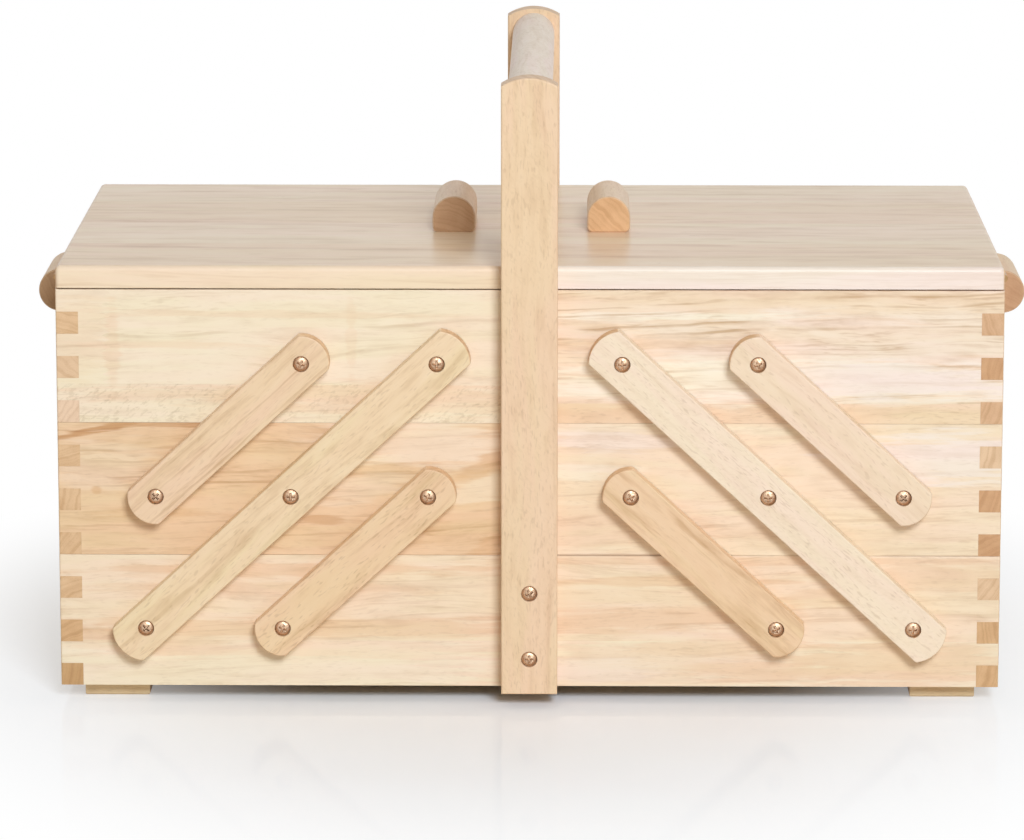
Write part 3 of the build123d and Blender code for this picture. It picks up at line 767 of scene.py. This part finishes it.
class CARRIER_OT_middle_trays(FinishOperator):
    """Finishes the walls and the floor panels of the two middle trays"""

    bl_idname = "carrier.middle_trays"
    bl_label = "Middle Trays"

    def finish(self, context):
        finish_tray("left", "middle", MIDDLE_RIM, LEFT_MIDDLE_FRONT, LEFT_MIDDLE_PATCHES, 21.3)
        finish_tray("right", "middle", MIDDLE_RIM, RIGHT_MIDDLE_FRONT, RIGHT_MIDDLE_PATCHES, 24.8)


class CARRIER_OT_top_trays(FinishOperator):
    """Finishes the walls, floor panels, dividers and pull knobs of the two top trays"""

    bl_idname = "carrier.top_trays"
    bl_label = "Top Trays"

    def finish(self, context):
        finish_tray("left", "top", TOP_RIM, LEFT_TOP_FRONT, LEFT_TOP_PATCHES, 31.6)
        finish_tray("right", "top", TOP_RIM, RIGHT_TOP_FRONT, RIGHT_TOP_PATCHES, 34.9)
        for side, seed, end_tint in (("left", 37.2, "knob_brown"), ("right", 39.5, "knob_rosy")):
            put_on(f"{side}_top_divider", plywood_material(f"{side} divider plywood", seed))
            strips = [Strip(0.0, "orange", 0.5, 0.3, 0.5, end=end_tint)]
            put_on(f"{side}_pull_knob", timber_material(f"{side} pull knob timber", BAR_CUT, seed, strips))


class CARRIER_OT_lids(FinishOperator):
    """Finishes the two lids and their knobs"""

    bl_idname = "carrier.lids"
    bl_label = "Lids"

    def finish(self, context):
        sides = (("left", 41.7, "knob_tan", "shell"), ("right", 44.4, "knob_orange", "petal"))
        for side, seed, end_tint, edge_tint in sides:
            strips = [
                Strip(0.0, edge_tint, 0.35, 0.25, 0.15),
                Strip(2.5, "peach", 0.85, 0.35, 0.15),
                Strip(62.0, "shell", 0.85, 0.35, 0.15),
                Strip(121.0, "peach", 0.85, 0.35, 0.2),
                Strip(184.0, "shell", 0.85, 0.35, 0.15),
            ]
            name = f"{side} lid timber"
            look = {"sheen": "lid_sheen", "spread": LID_SPREAD}
            put_on(f"{side}_lid", timber_material(name, LID_CUT, seed, strips, LID_FRONT, **look))
            knob_strips = [Strip(0.0, "peach", 0.5, 0.3, 0.5, end=end_tint)]
            knob = timber_material(f"{side} lid knob timber", BAR_CUT, seed + 1.2, knob_strips)
            put_on(f"{side}_lid_knob", knob)


class CARRIER_OT_arms(FinishOperator):
    """Finishes the arms that carry the trays"""

    bl_idname = "carrier.arms"
    bl_label = "Arms"

    def finish(self, context):
        strips = {
            "left_long_arm": Strip(0.0, "honey", 0.75, 0.25, 0.6),
            "left_upper_short_arm": Strip(0.0, "apricot", 0.65, 0.45, 0.4),
            "left_lower_short_arm": Strip(0.0, "orange", 0.8, 0.3, 0.8),
            "right_long_arm": Strip(0.0, "ecru", 0.3, 0.1, 0.7, 0.25),
            "right_upper_short_arm": Strip(0.0, "blush", 0.4, 0.15, 0.6),
            "right_lower_short_arm": Strip(0.0, "orange", 0.8, 0.5, 0.3),
        }
        slope = math.atan2(ARM_RISE, ARM_RUN)
        for number, (name, strip) in enumerate(strips.items()):
            way = 1 if name.startswith("left") else -1
            along = (way * math.cos(slope), 0.0, math.sin(slope))
            across = (-way * math.sin(slope), 0.0, math.cos(slope))
            cut = Cut(along, across, (0, 1, 0))
            seed = 52.9 + 2.3 * number
            for face, extra in (("front", 0.0), ("back", 1.7)):
                label = f"{name}_{face}".replace("_", " ") + " timber"
                put_on(f"{name}_{face}", timber_material(label, cut, seed + extra, [strip]))


class CARRIER_OT_screws(FinishOperator):
    """Finishes every screw in aged copper"""

    bl_idname = "carrier.screws"
    bl_label = "Screws"

    def finish(self, context):
        metal = context.scene.carrier_metal
        material, g, surface = new_material("aged copper")
        here = g.here_in_millimetres()
        film = g.ramp(g.noise(g.scaled(here, 1.1, 1.1, 1.1), 3.0, 0.6), 0.36, 0.64)
        # Where the dome falls away to its rim, the patina colour is laid on thickly: a painted dark reflection
        # and shade there, not a film.
        facing = g.split(g.vector("ABSOLUTE", g.add("TexCoord", out="Normal")))
        facing = g.math("MAXIMUM", g.math("MAXIMUM", facing[0], facing[1]), facing[2])
        film = g.math("MAXIMUM", g.math("MULTIPLY", film, 0.5), g.ramp(facing, 0.72, 0.94, 0.9, 0.0))
        g.plug(g.mix(film, tuple(metal.copper), tuple(metal.patina_and_rim_shade)), surface["Base Color"])
        surface["Metallic"].default_value = 1.0
        g.plug(g.math("MULTIPLY_ADD", film, 0.25, metal.copper_roughness - 0.1), surface["Roughness"])
        scratches = g.noise(g.scaled(here, 3.0, 3.0, 3.0), 3.0, 0.7)
        relief = {"Strength": 0.45, "Distance": 0.0001, "Height": scratches}
        g.plug(g.add("Bump", relief), surface["Normal"])
        for name in NODES:
            if name.endswith("_screws"):
                put_on(name, material)


class CARRIER_OT_hinges(FinishOperator):
    """Finishes the lid hinges in satin brass"""

    bl_idname = "carrier.hinges"
    bl_label = "Hinges"

    def finish(self, context):
        metal = context.scene.carrier_metal
        material, g, surface = new_material("satin brass")
        here = g.here_in_millimetres()
        film = g.ramp(g.noise(g.scaled(here, 0.15, 0.15, 0.15), 4.0, 0.6), 0.4, 0.7)
        film = g.math("MULTIPLY", film, 0.5)
        brushed = g.noise(g.scaled(here, 0.15, 6.0, 6.0), 2.0)
        g.plug(g.mix(film, tuple(metal.brass), tuple(metal.brass_shadow)), surface["Base Color"])
        surface["Metallic"].default_value = 1.0
        g.plug(g.math("MULTIPLY_ADD", brushed, 0.15, metal.brass_roughness - 0.07), surface["Roughness"])
        relief = {"Strength": 0.3, "Distance": 0.00002, "Height": brushed}
        g.plug(g.add("Bump", relief), surface["Normal"])
        for side in ("left", "right"):
            put_on(f"{side}_tray_hinge_leaves", material)
            put_on(f"{side}_lid_hinge_leaves", material)


# ---- the studio ----
WHITE = (1.0, 1.0, 1.0)

# The floor's fade to white: how X and Y are scaled to make it an oval, and where it starts and ends.
FADE_OVAL = (2.25, 1.7, 0.0)
FADE_START = 0.25
FADE_END = 0.77

# The key lamp stands this far round to the right of the front and this far up, and shines on this place.
KEY_ROUND = math.radians(14.0)
KEY_RISE = math.radians(29.0)
KEY_AIM = Vector((0.0, -0.12, 0.12))


def seen_directly(g):
    """1 for what the camera, a reflection or glass sees, 0 for the light that a surface gives to others."""
    path = g.tree.nodes.new("ShaderNodeLightPath").outputs
    mirrored = g.math("MAXIMUM", path["Is Glossy Ray"], path["Is Transmission Ray"])
    return g.math("MAXIMUM", path["Is Camera Ray"], mirrored)


def floor_material(studio):
    """Floor: matt and pale, with a faint mirror under the carrier, fading to plain white further off."""
    material, g, surface = bare_material("studio floor")
    here = g.here()
    direct = seen_directly(g)
    grain = g.noise(g.scaled(here, 40.0, 40.0, 40.0), 3.0)
    tint = tuple(studio.floor)
    tint = g.mix(grain, tint, tuple(0.99 * part for part in tint))
    looks = g.vector("MULTIPLY", tint, (studio.floor_gain,) * 3)
    matt = g.add("BsdfDiffuse", {"Color": g.mix(direct, tuple(studio.bounce), looks)})
    mirror = g.add("BsdfGlossy", {"Color": WHITE, "Roughness": g.math("MULTIPLY_ADD", grain, 0.02, 0.04)})
    near = g.add("MixShader", {0: studio.floor_gloss, 1: matt, 2: mirror})
    distance = g.vector("LENGTH", g.scaled(here, *FADE_OVAL))
    away = g.math("MULTIPLY", g.ramp(distance, FADE_START, FADE_END), direct)
    white = g.add("Emission", {"Color": WHITE, "Strength": 1.0})
    g.plug(g.add("MixShader", {0: away, 1: near, 2: white}), surface)
    return material


def lay_floor(scene, studio):
    half = studio.floor_width / 2
    mesh = bpy.data.meshes.new("studio_floor")
    corners = [(-half, -half, 0.0), (half, -half, 0.0), (half, half, 0.0), (-half, half, 0.0)]
    mesh.from_pydata(corners, [], [(0, 1, 2, 3)])
    mesh.materials.append(floor_material(studio))
    floor = bpy.data.objects.new("studio_floor", mesh)
    scene.collection.objects.link(floor)


def light_world(scene, studio):
    """Soft light from the sides, from above and most of all from behind. The world itself looks white."""
    world = bpy.data.worlds.new("studio_light")
    world.use_nodes = True
    world.node_tree.nodes.clear()
    g = Graph(world.node_tree)
    _, depth, height = g.split(g.add("TexCoord", out="Generated"))
    sides = tuple(studio.side_light * part for part in studio.side_tint)
    sides = g.mix(g.ramp(depth, 0.0, 0.6), sides, (studio.back_light,) * 3)
    above = tuple(studio.top_light * part for part in studio.top_tint)
    fill = g.mix(g.ramp(height, 0.0, 1.0, smooth=False), sides, above)
    sky = g.add("Background", {"Color": g.mix(seen_directly(g), fill, WHITE), "Strength": 1.0})
    g.plug(sky, g.tree.nodes.new("ShaderNodeOutputWorld").inputs["Surface"])
    scene.world = world


def hang_key_lamp(scene, studio):
    lamp = bpy.data.lights.new("key_lamp", "AREA")
    lamp.shape = "SQUARE"
    lamp.size = studio.key_width
    lamp.energy = studio.key_power
    lamp.color = studio.key_tint
    key = bpy.data.objects.new("key_lamp", lamp)
    level = math.cos(KEY_RISE)
    towards = Vector((math.sin(KEY_ROUND) * level, -math.cos(KEY_ROUND) * level, math.sin(KEY_RISE)))
    key.location = KEY_AIM + towards * studio.key_distance
    key.rotation_euler = towards.to_track_quat("Z", "Y").to_euler()
    scene.collection.objects.link(key)


def set_camera(scene, studio):
    lens = bpy.data.cameras.new("camera")
    lens.sensor_width = 36.0
    lens.lens = studio.camera_lens
    lens.clip_start = 0.05
    lens.clip_end = 100.0
    camera = bpy.data.objects.new("camera", lens)
    camera.location = (studio.camera_side, -studio.camera_distance, studio.camera_height)
    camera.rotation_euler = (math.pi / 2 - studio.camera_tilt, 0.0, studio.camera_turn)
    scene.collection.objects.link(camera)
    scene.camera = camera


class CARRIER_OT_studio(FinishOperator):
    """Lays the floor and sets up the lamps and the camera"""

    bl_idname = "carrier.studio"
    bl_label = "Studio"

    def finish(self, context):
        scene = context.scene
        studio = scene.carrier_studio
        lay_floor(scene, studio)
        light_world(scene, studio)
        hang_key_lamp(scene, studio)
        set_camera(scene, studio)
        scene.view_settings.view_transform = "Standard"


FINISHES = (
    CARRIER_OT_base_box,
    CARRIER_OT_handle,
    CARRIER_OT_middle_trays,
    CARRIER_OT_top_trays,
    CARRIER_OT_lids,
    CARRIER_OT_arms,
    CARRIER_OT_screws,
    CARRIER_OT_hinges,
    CARRIER_OT_studio,
)

SETTINGS = {
    "carrier_timber": TimberSettings,
    "carrier_metal": MetalSettings,
    "carrier_studio": StudioSettings,
}


class CARRIER_PT_finishes(Panel):
    """Lists the finishes and their settings"""

    bl_idname = "CARRIER_PT_finishes"
    bl_label = "Sewing Carrier"
    bl_space_type = "VIEW_3D"
    bl_region_type = "UI"
    bl_category = "Carrier"

    def draw(self, context):
        column = self.layout.column(align=True)
        for finish in FINISHES:
            column.operator(finish.bl_idname)
        for group_name, group in SETTINGS.items():
            box = self.layout.box()
            for name in group.__annotations__:
                box.prop(getattr(context.scene, group_name), name)


def register():
    for group in SETTINGS.values():
        bpy.utils.register_class(group)
    for name, group in SETTINGS.items():
        setattr(bpy.types.Scene, name, PointerProperty(type=group))
    for finish in FINISHES:
        bpy.utils.register_class(finish)
    bpy.utils.register_class(CARRIER_PT_finishes)


def unregister():
    bpy.utils.unregister_class(CARRIER_PT_finishes)
    for finish in reversed(FINISHES):
        bpy.utils.unregister_class(finish)
    for name in SETTINGS:
        delattr(bpy.types.Scene, name)
    for group in reversed(SETTINGS.values()):
        bpy.utils.unregister_class(group)


def main():
    register()
    for finish in FINISHES:
        family, name = finish.bl_idname.split(".")
        if getattr(getattr(bpy.ops, family), name)() != {"FINISHED"}:
            raise RuntimeError(f"{finish.bl_label} did not finish")


if __name__ == "__main__":
    main()
